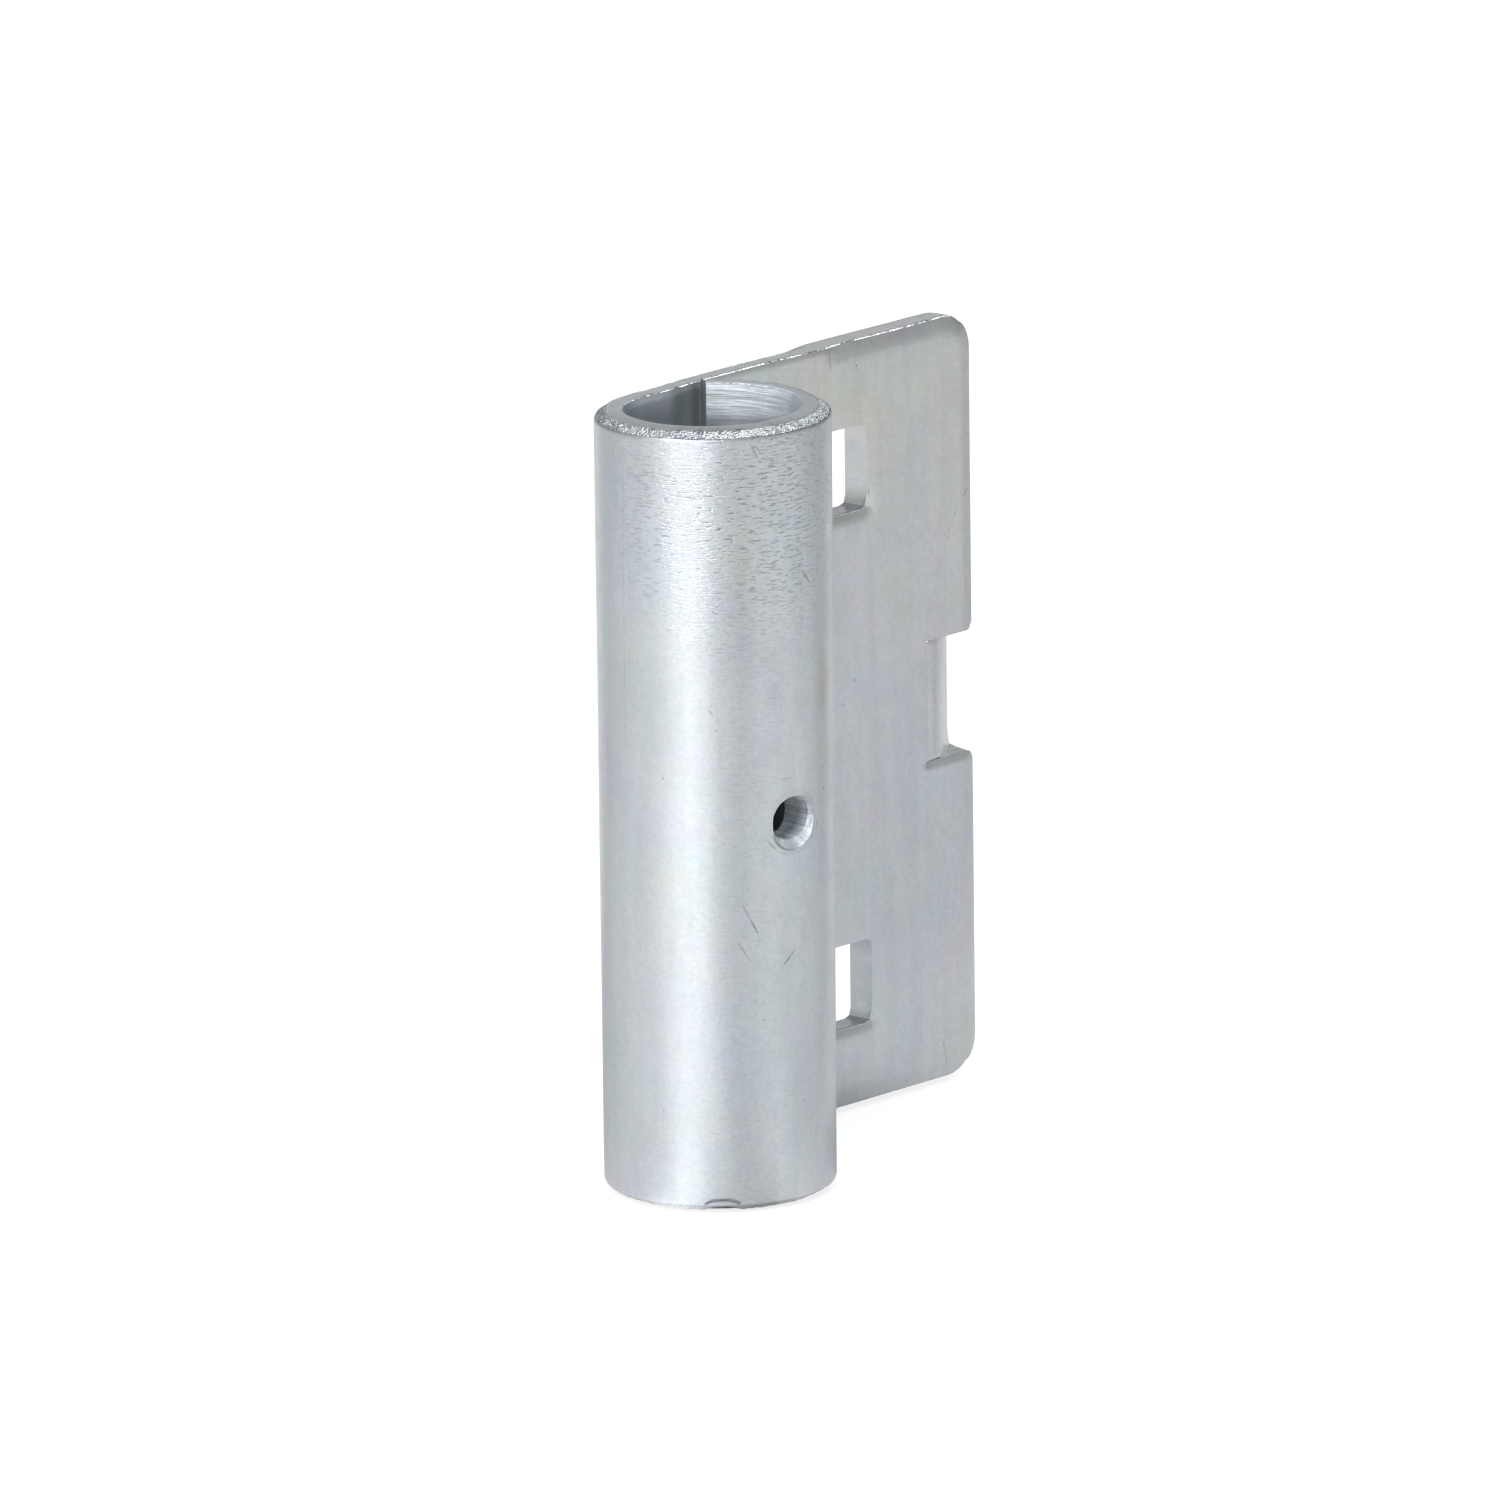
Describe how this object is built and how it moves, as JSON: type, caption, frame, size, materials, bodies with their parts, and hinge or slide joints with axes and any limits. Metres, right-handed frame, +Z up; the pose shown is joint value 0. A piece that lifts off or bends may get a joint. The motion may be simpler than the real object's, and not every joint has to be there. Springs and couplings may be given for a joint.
{
  "type": "garage door roller bracket",
  "caption": "Rolled sheet steel bracket for a garage door roller: a tube for the spindle with a tapped clamp screw hole, and a flat flange with square bolt holes and a bent tab.",
  "frame": {"origin": "on the tube's axis at its lower end", "axes": "+Z up the tube's axis, +X along the flange to its free edge, +Y out of the flange's back, the side that lies on the door"},
  "size_m": [0.0606, 0.0265, 0.08],
  "materials": {
    "zinc_plated_steel": "zinc plated and blue passivated, semi-gloss"
  },
  "bodies": {
    "root": {"bracket": "zinc_plated_steel"}
  },
  "joints": []
}
